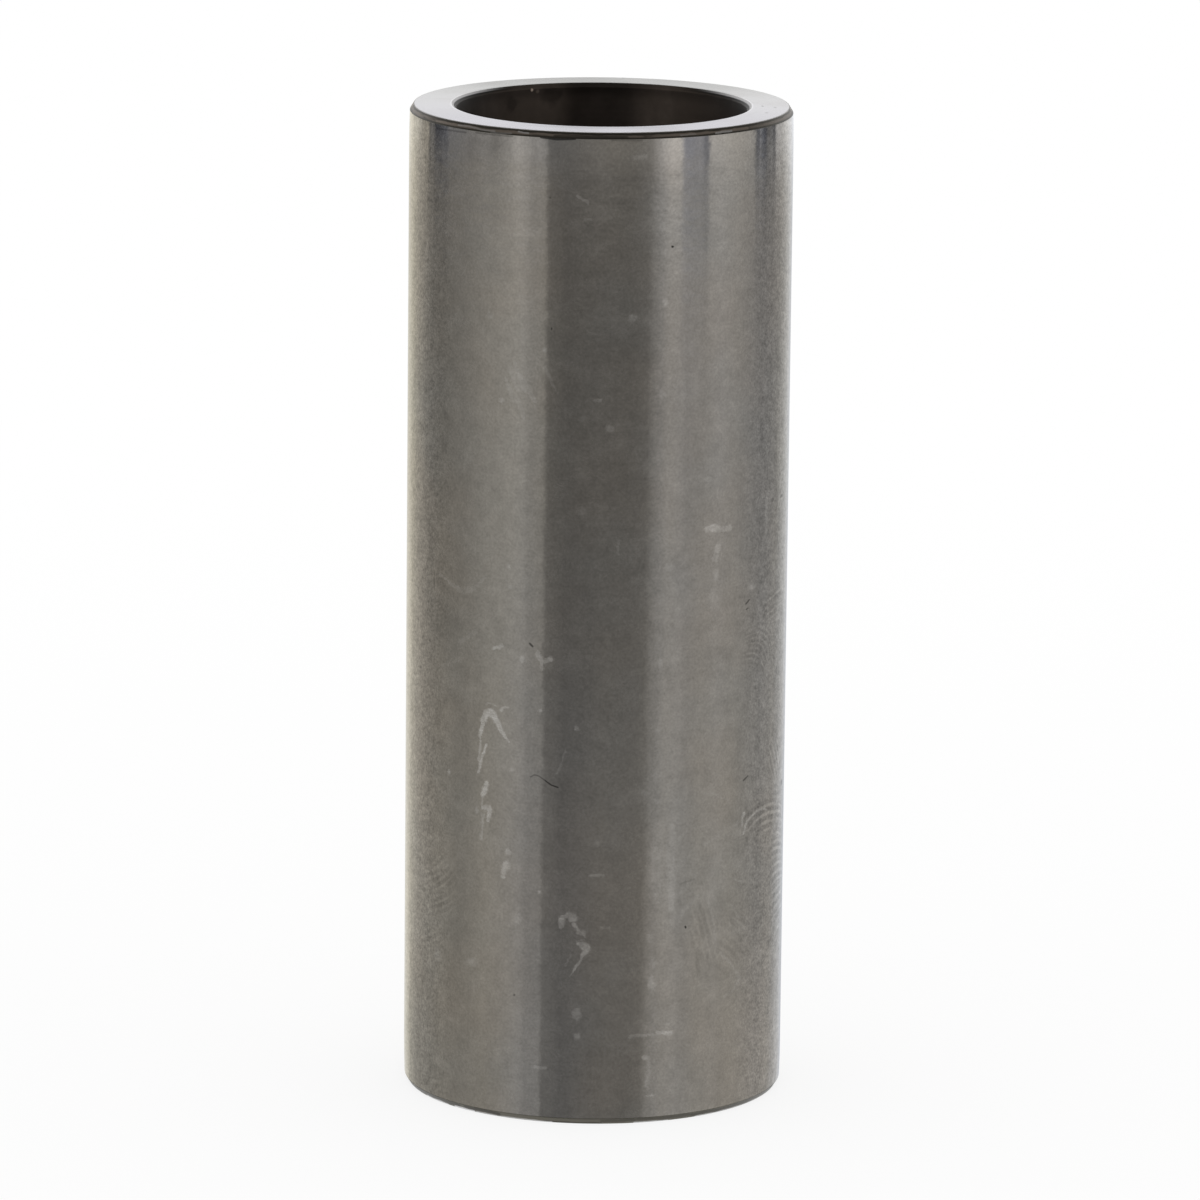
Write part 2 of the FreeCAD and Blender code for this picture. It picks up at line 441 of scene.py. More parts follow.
# Dried oil, lighter than the steel.
SMEARS = [
    # the hook and its leg
    ((0.46, 0.70), 1.00, [(-36.3, 23.5), (-35.6, 24.2), (-34.2, 24.8), (-32.8, 24.85)]),
    ((0.70, 0.62), 1.00, [(-32.8, 24.85), (-31.2, 24.5)]),
    ((0.62, 0.20), 0.90, [(-31.2, 24.5), (-29.2, 23.85), (-26.4, 23.2)]),
    ((0.24, 0.34), 1.00, [(-34.4, 22.85), (-35.8, 22.0), (-37.2, 21.1)]),
    ((0.20, 0.26), 0.60, [(-36.3, 23.3), (-36.9, 21.8)]),
    ((0.18, 0.30), 0.50, [(-36.6, 22.9), (-36.4, 23.9)]),
    ((0.34, 0.18), 0.60, [(-29.1, 25.05), (-28.2, 25.25), (-26.6, 25.28)]),
    (0.15, 0.45, [(-34.6, 25.32), (-32.6, 25.4), (-30.8, 25.3)]),
    # below the hook
    ((0.34, 0.70), 0.90, [(-33.9, 20.55), (-34.7, 20.1)]),
    ((0.70, 0.50), 0.95, [(-34.7, 20.1), (-35.4, 19.75)]),
    ((0.26, 0.50), 0.95, [(-35.3, 18.95), (-34.0, 18.98), (-33.0, 18.9)]),
    ((0.56, 0.30), 1.00, [(-33.0, 18.9), (-33.2, 18.2)]),
    (0.15, 0.45, [(-35.8, 19.7), (-35.6, 19.2), (-34.6, 18.75)]),
    (0.26, 0.45, [(-35.1, 18.5), (-35.9, 17.0)]),
    (0.16, 0.30, [(-36.0, 18.6), (-36.4, 17.0)]),
    ((0.50, 0.50), 0.65, [(-27.4, 15.75), (-27.9, 15.2)]),
    ((0.26, 0.14), 0.45, [(-27.2, 15.55), (-25.8, 15.45)]),
    # ticks beside the dark band
    (0.30, 0.7, [(-31.7, 28.8), (-30.0, 28.85), (-28.9, 29.0)]),
    (0.44, 0.5, [(-17.6, 28.75), (-16.1, 28.25), (-13.6, 28.45)]),
    (0.32, 0.3, [(-16.2, 28.3), (-16.4, 27.8)]),
    (0.20, 0.15, [(-8.8, 22.9), (-10.2, 21.9), (-12.2, 21.3)]),
    # the cluster low on the dark band
    ((0.40, 0.56), 0.68, [(-9.5, 12.2), (-9.3, 12.6)]),
    ((0.36, 0.74), 0.44, [(-8.8, 12.75), (-7.2, 12.9), (-6.0, 12.75)]),
    ((0.40, 0.16), 0.42, [(-5.6, 12.35), (-4.4, 12.0), (-2.4, 11.6)]),
    ((0.30, 0.44), 0.34, [(-4.8, 11.8), (-2.8, 11.85)]),
    ((0.36, 0.84), 0.62, [(-4.2, 11.2), (-2.1, 10.9)]),
    ((0.64, 0.30), 0.56, [(-2.2, 10.7), (-3.4, 10.45)]),
    ((0.24, 0.14), 0.46, [(-3.3, 10.4), (-6.8, 9.1)]),
    ((0.16, 0.30), 0.25, [(-6.6, 10.5), (-8.0, 9.8)]),
    (0.16, 0.22, [(-5.0, 11.35), (-2.6, 11.4)]),
    # short level wipes
    (0.24, 0.26, [(-0.9, 15.36), (3.0, 15.36)]),
    (0.26, 0.2, [(2.2, 12.2), (4.8, 12.18)]),
    (0.28, 0.35, [(-17.2, 3.38), (-13.8, 3.4)]),
    ((0.36, 0.22), 0.32, [(11.6, 5.4), (20.8, 5.5)]),
    ((0.24, 0.36), 0.62, [(19.6, 5.65), (24.2, 5.45)]),
    (0.18, 0.20, [(20.8, 6.0), (23.4, 6.05)]),
    # feathered wipes beside the dark band's right edge
    ((0.70, 0.20), 0.14, [(24.0, 13.6), (31.0, 14.8)]),
    ((0.60, 0.20), 0.12, [(24.6, 15.4), (30.0, 16.3)]),
    ((0.50, 0.20), 0.12, [(24.4, 12.3), (33.4, 13.8)]),
    ((0.40, 0.16), 0.12, [(25.0, 17.2), (29.0, 17.8)]),
    (0.60, 0.30, [(23.9, 18.1), (24.0, 13.2)]),
    (0.18, 0.20, [(34.8, 19.95), (39.0, 19.8), (44.0, 19.3)]),
    (0.24, 0.22, [(34.4, 16.85), (37.0, 17.0), (40.5, 17.25)]),
    (0.26, 0.22, [(41.6, 10.0), (46.0, 9.2), (50.0, 8.1)]),
    (0.22, 0.16, [(37.0, 13.3), (38.4, 12.2), (39.6, 10.8)]),
    (0.30, 0.20, [(43.6, 7.2), (48.0, 7.5), (50.6, 8.2)]),
    (0.24, 0.18, [(46.0, 12.8), (48.8, 12.0), (51.6, 11.8)]),
    (0.28, 0.2, [(-1.2, 44.1), (0.6, 44.12)]),
    (0.44, 0.2, [(9.4, 58.55), (13.0, 58.6)]),
    (0.28, 0.22, [(-6.6, 56.25), (-3.8, 55.85)]),
    (0.24, 0.15, [(-5.0, 54.9), (-2.8, 54.9)]),
    (0.20, 0.16, [(6.2, 34.9), (6.2, 35.7)]),
    # the hatch of small scuffs across the left edge of the dark band
    ((0.30, 0.60), 0.20, [(-28.5, 45.1), (-25.8, 43.9)]),
    ((0.60, 0.30), 0.18, [(-27.0, 45.7), (-24.2, 44.5)]),
    ((0.40, 0.66), 0.22, [(-25.6, 46.1), (-22.4, 44.6)]),
    ((0.50, 0.30), 0.20, [(-22.2, 45.0), (-19.0, 43.9)]),
    ((0.50, 0.30), 0.20, [(-24.6, 43.9), (-22.6, 42.9)]),
    ((0.40, 0.24), 0.12, [(-16.2, 46.0), (-12.4, 44.5)]),
    # the wiped edge left of the hook
    ((0.24, 0.60), 0.17, [(-54.7, 32.6), (-48.6, 32.15), (-43.8, 31.9)]),
    ((0.60, 0.30), 0.15, [(-43.8, 31.9), (-39.2, 32.2), (-34.8, 33.1)]),
    (0.40, 0.10, [(-54.0, 26.9), (-45.2, 27.7)]),
    (0.42, 0.12, [(-45.0, 28.8), (-38.4, 29.6)]),
    # right of the dark band
    (0.56, 0.7, [(34.2, 36.05), (37.4, 36.1), (39.0, 35.95)]),
    (0.48, 0.5, [(39.0, 35.95), (43.4, 35.9)]),
    (0.62, 0.5, [(38.6, 34.9), (37.6, 34.2)]),
    (0.46, 0.2, [(61.0, 37.2), (61.6, 34.6)]),
    ((0.34, 0.20), 0.8, [(51.4, 18.25), (50.6, 18.0), (50.4, 17.6)]),
    (0.26, 0.4, [(48.4, 17.9), (47.6, 17.6)]),
    (0.22, 0.6, [(51.0, 17.0), (52.4, 17.65), (55.0, 17.95), (60.0, 18.15), (64.0, 18.05)]),
    (0.22, 0.35, [(46.6, 14.4), (50.6, 14.0)]),
    # the back
    (0.60, 0.6, [(152.0, 41.0), (156.0, 42.2), (163.0, 42.6), (168.0, 41.8)]),
    (0.36, 0.5, [(160.0, 39.5), (171.0, 39.1)]),
    (0.28, 0.6, [(-158.0, 17.2), (-150.0, 17.6)]),
    (0.48, 0.6, [(-132.0, 25.5), (-128.0, 24.2), (-129.5, 22.8)]),
    (0.24, 0.5, [(108.0, 21.4), (113.0, 21.2)]),
    (0.34, 0.4, [(121.0, 8.2), (129.0, 8.6)]),
]

# Dried drops: strength, width, height, degrees from the front, height above the foot.
OIL_SPOTS = [
    (0.45, 0.44, 0.60, -37.7, 18.7), (0.3, 0.9, 1.0, -23.0, 12.5), (0.8, 0.66, 0.55, -26.4, 16.5),
    (0.9, 0.44, 0.32, -28.2, 14.95), (0.4, 0.9, 1.0, -27.2, 15.6), (0.35, 0.40, 0.40, -25.2, 21.5),
    (0.5, 0.50, 0.60, -22.5, 28.3), (0.35, 0.50, 0.50, -22.5, 12.4), (0.45, 0.34, 0.30, -16.4, 25.3),
    (0.34, 0.44, 0.42, -5.6, 24.3), (0.7, 0.32, 0.32, -16.5, 14.2), (0.35, 0.80, 1.00, -4.5, 6.8),
    (0.3, 0.60, 0.60, -4.6, 5.5), (0.5, 0.70, 1.40, 17.8, 8.6), (0.3, 0.70, 1.00, 18.0, 9.9),
    (0.2, 0.70, 0.90, 17.4, 11.4), (0.5, 0.60, 0.50, 16.2, 4.1), (0.3, 0.44, 2.90, 17.0, 3.1),
    (0.45, 0.40, 0.80, 16.6, 2.5), (0.4, 0.90, 0.24, 17.8, 1.7), (0.26, 1.6, 6.0, 19.2, 15.8),
    (0.26, 1.0, 5.6, 23.4, 15.9), (0.35, 0.50, 1.10, 19.6, 28.2), (0.2, 0.50, 0.60, 19.0, 24.1),
    (0.2, 0.70, 0.50, 14.8, 20.4), (0.3, 0.60, 0.50, 19.0, 19.8), (0.14, 0.60, 0.60, 0.8, 17.3),
    (0.35, 0.60, 0.60, 19.5, 49.9), (0.35, 0.60, 0.60, 19.0, 44.4), (0.6, 0.48, 0.44, -29.8, 43.8),
    (0.35, 0.60, 0.60, -34.2, 48.8), (0.5, 0.42, 0.42, -16.2, 47.0), (0.55, 0.42, 0.40, -27.0, 33.8),
    (0.6, 0.42, 0.42, -26.5, 32.6), (0.16, 0.90, 0.70, -4.4, 37.4), (0.18, 0.80, 0.60, 3.2, 42.4),
    (0.12, 0.60, 0.60, -4.5, 43.0), (0.25, 0.70, 0.60, 9.8, 49.0), (0.5, 0.60, 1.00, 37.9, 33.2),
    (0.30, 1.4, 1.8, 37.2, 31.7), (0.3, 0.90, 0.70, 22.0, 34.0), (0.3, 0.70, 0.60, 34.5, 39.0),
    (0.4, 1.00, 0.60, 53.8, 32.1), (0.5, 0.42, 0.42, -49.3, 20.7), (0.3, 1.4, 0.70, -39.0, 9.3),
    (0.25, 1.00, 1.30, -54.5, 9.2), (0.4, 0.60, 0.70, 142.0, 47.0), (0.5, 0.50, 0.50, 137.0, 33.0),
    (0.35, 0.90, 0.70, -140.0, 48.0), (0.5, 0.50, 0.50, -118.0, 12.0),
]

# Films so thin that they only veil the reflections, as the drops are given.
VEILS = [
    (0.8, 9.0, 14.0, 44.0, 14.0), (0.6, 7.0, 8.0, 22.0, 12.0), (0.8, 6.0, 12.0, -58.0, 14.0),
    (0.4, 8.0, 6.0, -35.0, 8.0), (0.3, 6.0, 12.0, 4.0, 14.0), (0.8, 5.0, 12.0, 62.0, 28.0),
    (0.9, 4.0, 40.0, -76.0, 26.0), (0.9, 4.0, 40.0, 76.0, 26.0),
    (0.6, 12.0, 20.0, 150.0, 40.0), (0.6, 10.0, 16.0, -135.0, 20.0),
]

# Fingertip ridges: strength, pitch, length along and breadth across, middle, lean of the ridges in
# degrees, and how fast they bend down away from the middle.
PRINTS = [
    (0.26, 0.36, (4.6, 4.0), (59.5, 28.2), -34.0, 0.30),
    (0.34, 0.40, (3.6, 2.2), (68.0, 30.6), 8.0, 0.06),
    (0.34, 0.46, (3.0, 2.6), (70.5, 20.8), -62.0, 0.02),
    (0.22, 0.40, (4.4, 5.0), (-55.0, 13.6), 27.0, -0.10),
    (0.20, 0.42, (3.4, 2.6), (-57.5, 9.8), 27.0, -0.06),
    (0.13, 0.44, (5.4, 2.6), (35.5, 11.2), -72.0, 0.02),
    (0.12, 0.50, (4.4, 3.6), (47.0, 10.6), -42.0, 0.06),
    (0.14, 0.40, (2.6, 2.2), (57.0, 11.0), 35.0, 0.05),
    (0.20, 0.48, (9.0, 11.0), (-146.0, 34.0), 12.0, 0.07),
    (0.20, 0.46, (8.0, 10.0), (118.0, 27.0), -20.0, 0.09),
]

# Nested arches of a fingertip: strength, pitch, top, lean, bend, and where they are pressed on, as the
# drops are given.
ARCHES = [
    (0.46, 0.50, (64.0, 18.1), 0.44, 0.09, [(1.0, 8.4, 3.2, 66.0, 17.6), (1.0, 4.4, 11.6, 75.5, 13.6)]),
]

# Dark fibres and nicks, given as the smears are.
DARK_STROKES = [
    (0.10, 0.45, [(-19.4, 21.2), (-18.2, 21.35), (-16.8, 21.3), (-14.8, 21.05)]),
    (0.11, 0.75, [(-14.8, 21.05), (-13.0, 20.8), (-10.9, 20.68)]),
    (0.16, 0.7, [(-20.0, 29.3), (-19.1, 29.15)]),
    (0.14, 0.65, [(50.8, 20.3), (53.0, 20.5)]),
    (0.14, 0.7, [(50.8, 31.1), (52.4, 31.3)]),
    (0.12, 0.6, [(50.9, 30.75), (51.8, 30.8)]),
    (0.30, 0.06, [(-18.0, 45.9), (-13.0, 43.6)]),
    (0.14, 0.3, [(-57.4, 32.7), (-57.6, 31.6)]),
    (0.26, 0.10, [(20.0, 15.1), (22.4, 15.1)]),
    (0.18, 0.12, [(26.6, 14.6), (29.0, 14.7), (31.4, 14.8)]),
    (0.50, 0.10, [(33.2, 13.2), (35.0, 11.2)]),
    (0.44, 0.09, [(34.4, 12.8), (37.6, 10.6)]),
    (0.40, 0.10, [(33.0, 10.4), (33.4, 8.8)]),
    (0.34, 0.08, [(46.0, 11.8), (51.0, 10.4)]),
    (0.50, 0.08, [(41.0, 9.2), (45.0, 8.5)]),
    # run-out of the unground edge
    (0.16, 0.35, [(-58.0, 59.36), (-51.0, 59.42), (-44.0, 59.46)]),
    ((0.16, 0.32), 0.8, [(-18.0, 59.62), (-13.0, 59.60)]),
    ((0.32, 0.12), 0.8, [(-13.0, 59.60), (-7.6, 59.61)]),
    (0.16, 0.3, [(-40.0, 59.54), (-27.0, 59.56)]),
    (0.12, 0.25, [(3.0, 59.56), (12.0, 59.55)]),
]

# Pits and stains, given as the drops are.
DARK_SPOTS = [
    (1.0, 0.24, 0.24, 21.6, 53.2), (0.7, 0.14, 0.20, -13.8, 48.3), (0.5, 0.14, 0.16, -14.8, 56.1),
    (1.0, 0.20, 0.20, 28.6, 11.9), (0.6, 0.18, 0.16, -24.2, 7.7), (0.7, 0.70, 0.60, 79.5, 19.0),
    (0.6, 0.60, 0.30, 73.2, 36.9), (0.3, 0.60, 0.36, 65.3, 36.9), (0.10, 3.2, 5.4, -51.5, 30.0),
    (0.10, 1.4, 2.0, 24.0, 33.8), (0.08, 2.8, 1.6, 41.0, 28.4), (0.8, 0.24, 0.22, 133.0, 52.0),
    (0.7, 0.20, 0.20, -128.0, 38.0), (0.7, 0.22, 0.20, -163.0, 9.0),
]


def spots_near(zone, spots):
    """The spots that come near the zone."""
    return [spot for spot in spots if in_reach(zone, [spot[3:]], max(spot[1:3]) / 2)]


def strokes_near(zone, strokes):
    """The strokes that come near the zone."""
    return [stroke for stroke in strokes if in_reach(zone, stroke[2], 0.5)]


# Colours as plain reflectance.
STEEL_WARM = (0.572, 0.538, 0.505, 1)
STEEL_COOL = (0.544, 0.529, 0.513, 1)
WHITE = (1, 1, 1, 1)
# faint green tint of the painted sheen where the wall turns away
EDGE_SHEEN_TINT = (0.996, 1.022, 0.996, 1)
OIL = (0.66, 0.65, 0.62, 1)
FACE_FRONT_TINT = (0.985, 0.98, 1.07, 1)
FACE_REAR_TINT = (0.99, 1.0, 0.96, 1)
SCALE_DARK = (0.065, 0.060, 0.050, 1)
SCALE_BROWN = (0.26, 0.22, 0.19, 1)
FACE_LIGHT = (0.605, 0.598, 0.606, 1)
FACE_DULL = (0.50, 0.475, 0.47, 1)
# dark steel of the lower edge, with the shade of the pin's foot painted in
FOOT_STEEL_IN_SHADE = (0.130, 0.122, 0.100, 1)
BORE_DARK = (0.092, 0.074, 0.062, 1)
BORE_LIGHT = (0.135, 0.110, 0.094, 1)


# How far the ground wall's faint ripple rises, how strong its grain is, and where that grows calmer.
WALL_RIPPLE = 0.010
FRONT_GRAIN, SIDE_GRAIN, CALM_GRAIN = 0.42, 0.50, 0.72
CALM_HEIGHTS = (44.0, 52.0)

# Beside the front the wall is greasy: the band rises and falls between these angles.
GREASE_ANGLES = (44.0, 62.0, 95.0, 115.0)
# the painted sheen of level wipes rises and falls between these angles
SHEEN_WIPE_ANGLES = (64.0, 78.0, 95.0, 115.0)


def grease_at(paint, at, zone, angles):
    """1 on the greasy bands beside the front and 0 elsewhere."""
    left, right = zone[:2]
    if max(abs(left), abs(right)) <= angles[0] or min(abs(left), abs(right)) >= angles[3]:
        return 0.0
    first, full, last, end = (math.radians(angle) * OUTSIDE for angle in angles)
    around = paint.math("ABSOLUTE", paint.parts(at)["X"])
    return paint.times(paint.ramp(around, first, full), paint.ramp(around, end, last))


def ground_wall(number, zone):
    """The ground surface within a zone: fine grain, uneven tint, thin oil, prints and nicks."""
    left, right, _, top = zone
    side = math.copysign(1.0, left + right)
    paint = Paint(f"ground_steel_wall_{number:02d}")
    at = paint.unrolled()
    wander = paint.wander((0.5, 0.5, 0.5))
    blurred = paint.vector("ADD", at, paint.scaled(wander, 0.32))

    # oil, in grains
    grain = paint.noise((0.8, 0.8, 0.8), detail=4.0, roughness=0.72)
    oil = paint.add_strokes(0.0, blurred, strokes_near(zone, SMEARS))
    oil = paint.add_spots(oil, blurred, spots_near(zone, OIL_SPOTS))
    hatch = paint.noise((0.9, 0.9, 0.13), detail=2.0, roughness=0.6)
    oil = paint.times(oil, paint.ramp(grain, 0.34, 0.60, low=0.55))
    oil = paint.times(oil, paint.ramp(hatch, 0.36, 0.58, low=0.74, high=1.10))
    veil = paint.add_spots(0.25, at, spots_near(zone, VEILS))
    cloud = paint.noise((2.4, 2.4, 1.6), detail=5.0, roughness=0.66)
    veil = paint.times(paint.ramp(cloud, 0.44, 0.70), veil)
    film = paint.times_plus(veil, 0.07, paint.times(oil, 0.38))
    film = paint.math("MINIMUM", film, 0.6)

    # the steel's own tint
    tint = paint.noise((7.0, 7.0, 9.0), detail=2.0)
    steel = paint.mix(paint.ramp(tint, 0.30, 0.70), STEEL_COOL, STEEL_WARM)
    lines = paint.noise((5.0, 5.0, 0.16), detail=2.0)
    shade = paint.times_plus(lines, 0.08, 0.96)
    fine = paint.noise((0.15, 0.15, 0.15), detail=1.0)
    fine = paint.math("SUBTRACT", fine, 0.5)
    coarse = FRONT_GRAIN if left < 0 < right else SIDE_GRAIN
    if top > CALM_HEIGHTS[0]:
        height = paint.parts(at)["Y"]
        coarse = paint.ramp(height, *CALM_HEIGHTS, low=coarse, high=CALM_GRAIN * coarse)
    grease = grease_at(paint, at, zone, GREASE_ANGLES)
    if grease:
        shade = paint.times_plus(fine, paint.times_plus(grease, 0.60, 0.38), shade)
        strength = paint.times_plus(grease, 0.50, coarse)
        streaks = paint.streaks(blurred, (1.9, 0.5, 0), (side * 1.1, 4.2, 0))
        shade = paint.times_plus(streaks, paint.times(grease, 0.8), shade)
        # long level wipes, painted as a sheen of light and dark streaks, seen only where the wall turns
        # away
        wipes = paint.streaks(at, (0.7, 0.2, 0), (side * 0.4, 3.0, 0))
        edge = paint.times(grease_at(paint, at, zone, SHEEN_WIPE_ANGLES), 0.7)
        shade = paint.times_plus(wipes, edge, shade)
    else:
        shade = paint.times_plus(fine, 0.38, shade)
        strength = coarse
    shade = paint.times_plus(paint.math("SUBTRACT", grain, 0.5), strength, shade)
    shade = paint.times_plus(paint.math("SUBTRACT", cloud, 0.5), 0.16, shade)
    prints = [mark for mark in PRINTS if in_reach(zone, [mark[3]], max(mark[2]) / 2)]
    arches = [mark for mark in ARCHES if spots_near(zone, mark[5])]
    if prints or arches:
        drift = paint.wander((2.6, 2.6, 2.6))
        moved = paint.vector("ADD", at, paint.scaled(drift, 0.4))
        contact = paint.noise((2.2, 2.2, 0.7), detail=2.0)
        ridges = paint.add_arches(0.0, moved, arches)
        ridges = paint.add_prints(ridges, moved, prints)
        shade = paint.times_plus(ridges, paint.ramp(contact, 0.36, 0.60, low=0.35), shade)
    dark = paint.add_strokes(0.0, at, strokes_near(zone, DARK_STROKES))
    dark = paint.add_spots(dark, blurred, spots_near(zone, DARK_SPOTS))
    shade = paint.times(shade, paint.math("SUBTRACT", 1.0, dark))
    colour = paint.mix(film, paint.scaled(steel, shade), OIL)
    if grease:
        # painted sheen: a faint green tint where the wall turns away
        colour = paint.vector("MULTIPLY", colour, paint.mix(edge, WHITE, EDGE_SHEEN_TINT))

    paint.give("Base Color", colour)
    paint.give("Metallic", paint.math("SUBTRACT", 1.0, film))
    rough = paint.times_plus(grain, 0.05, 0.09)
    rough = paint.times_plus(film, 0.4, rough)
    paint.give("Roughness", rough)
    paint.turned(0.6)
    paint.bump(paint.noise((1.3, 1.3, 1.0), detail=2.0, roughness=0.55), WALL_RIPPLE)
    return paint.material


# Dull patches and pits on the upper face: strength, size, and place across it.
FACE_PATCHES = [
    (0.28, 9.0, -1.0, 11.5), (0.18, 7.0, 5.0, 10.5), (0.16, 7.0, -5.0, 10.2),
    (0.12, 5.0, 7.2, 7.8), (0.14, 5.0, -7.2, 8.2),
    (0.12, 5.0, -1.5, -10.0), (0.10, 5.0, 3.0, -9.8), (-0.08, 5.0, -7.0, -7.6),
]
FACE_PITS = [
    (0.7, 0.24, 9.62, -0.10), (0.45, 0.28, 10.35, -0.55), (0.4, 0.30, 9.80, -2.75),
    (0.8, 0.22, 1.30, 11.05),
]


def turned_face():
    """The end faces: faint turning lines, dull patches and a few pits, with painted highlights and shade
    round the bore and along the front edge.
    """
    paint = Paint("turned_steel_face")
    spot = paint.place((1, 1, 1))
    flat = paint.vector("MULTIPLY", spot, (1, 1, 0))
    away = paint.vector("LENGTH", flat)
    along = paint.joined(paint.times(away, 4.0), 0.0)
    rings = paint.noise(paint.vector("ADD", along, paint.scaled(spot, 0.25)), detail=2.0)
    patches = paint.noise((2.4, 2.4, 2.4), detail=3.0)
    dull = paint.ramp(patches, 0.44, 0.74, high=0.45)
    colour = paint.mix(dull, FACE_LIGHT, FACE_DULL)
    # greenish behind the bore, and lavender in front of it
    parts = paint.parts(spot)
    behind = paint.ramp(parts["Y"], -9.2, 9.6)
    colour = paint.vector("MULTIPLY", colour, paint.mix(behind, FACE_FRONT_TINT, FACE_REAR_TINT))
    # painted highlight: the bore's edge is lighter at both sides
    painted_rim_highlight = paint.ramp(paint.math("ABSOLUTE", parts["X"]), 6.0, BORE, high=0.4)
    painted_rim_highlight = paint.times(paint.ramp(away, BORE + MOUTH + 0.16, BORE + MOUTH + 0.05), painted_rim_highlight)
    shade = paint.times_plus(rings, 0.05, 0.865)
    # duller behind the bore and darker along its front edge; lighter along the outer front edge, a painted
    # highlight of the edge's roll-off
    shade = paint.times(shade, paint.ramp(parts["Y"], 2.0, 8.5, low=1.0, high=0.91))
    shade = paint.times(shade, paint.ramp(parts["Y"], -4.0, -10.4, low=1.0, high=1.18))
    lip = paint.times(paint.ramp(away, 10.4, 9.3), paint.ramp(parts["Y"], -8.2, -9.2, high=0.26))
    shade = paint.times(shade, paint.math("SUBTRACT", 1.0, lip))
    shade = paint.times_plus(shade, painted_rim_highlight, shade)
    # painted shade: the face is darker just round the bore's rear edge
    painted_rear_rim_shade = paint.times(paint.ramp(away, 9.36, 8.98), paint.ramp(parts["Y"], 3.0, 6.5, high=0.55))
    shade = paint.times(shade, paint.math("SUBTRACT", 1.0, painted_rear_rim_shade))
    for strength, size, x, y in FACE_PATCHES:
        patch = paint.vector("DISTANCE", flat, (x, y, 0))
        shade = paint.times(shade, paint.ramp(patch, size / 2, 0.0, low=1.0, high=1 - strength))
    for strength, size, x, y in FACE_PITS:
        pit = paint.vector("DISTANCE", paint.vector("MULTIPLY", spot, (1, 0.4, 1)), (x, 0.4 * y, LENGTH))
        shade = paint.times(shade, paint.ramp(pit, size / 2, size / 8, low=1.0, high=1 - strength))
    paint.give("Base Color", paint.scaled(colour, shade))
    paint.give("Metallic", 1.0)
    paint.give("Roughness", paint.times_plus(rings, 0.06, 0.2))
    paint.turned(0.6)
    return paint.material


# The outer edges' light and dark lines, given as the smears are. The light lines are painted highlights
# and painted reflections of the lit floor; the dark lines on the lower edge are painted shade.
EDGE_PAINTED_HIGHLIGHTS = [
    (0.16, 0.8, [(-62.0, 0.05), (-50.0, 0.05)]),
    (0.18, 1.0, [(-47.0, 0.06), (-39.0, 0.05)]),
    (0.14, 0.6, [(-38.0, 0.04), (-12.0, 0.04)]),
    (0.12, 0.7, [(13.0, 0.05), (24.0, 0.05)]),
    (0.10, 0.6, [(34.0, 0.04), (70.0, 0.04)]),
    (0.12, 0.7, [(-26.0, 59.82), (-22.0, 59.80)]),
    (0.10, 0.3, [(24.0, 59.74), (29.0, 59.76)]),
    (0.14, 0.6, [(36.0, 59.74), (42.0, 59.76)]),
    (0.12, 0.4, [(-48.0, 59.80), (-33.0, 59.76)]),
    (0.10, 0.3, [(-34.0, 59.70), (-28.0, 59.70)]),
]
# on the lower edge these dark lines are painted shade of the pin's foot
EDGE_DARK_LINES = [
    (0.28, 1.0, [(-42.0, 0.23), (-29.0, 0.23)]),
    (0.20, 0.8, [(-14.0, 0.08), (3.0, 0.06)]),
    (0.26, 0.7, [(3.0, 0.20), (13.0, 0.22)]),
    (0.26, 0.7, [(14.0, 0.26), (32.0, 0.22)]),
    (0.28, 0.9, [(32.0, 0.20), (52.0, 0.22)]),
    (0.30, 0.9, [(52.0, 0.22), (80.0, 0.22)]),
    (0.30, 0.9, [(-80.0, 0.24), (-44.0, 0.23)]),
    (0.30, 0.7, [(-14.0, 59.72), (8.0, 59.72)]),
    (0.17, 1.0, [(-86.0, 59.92), (-40.0, 59.92), (0.0, 59.90), (40.0, 59.92), (86.0, 59.92)]),
    (0.30, 0.5, [(50.0, 59.78), (60.0, 59.76), (86.0, 59.78)]),
    (0.26, 0.4, [(-86.0, 59.80), (-60.0, 59.80)]),
]


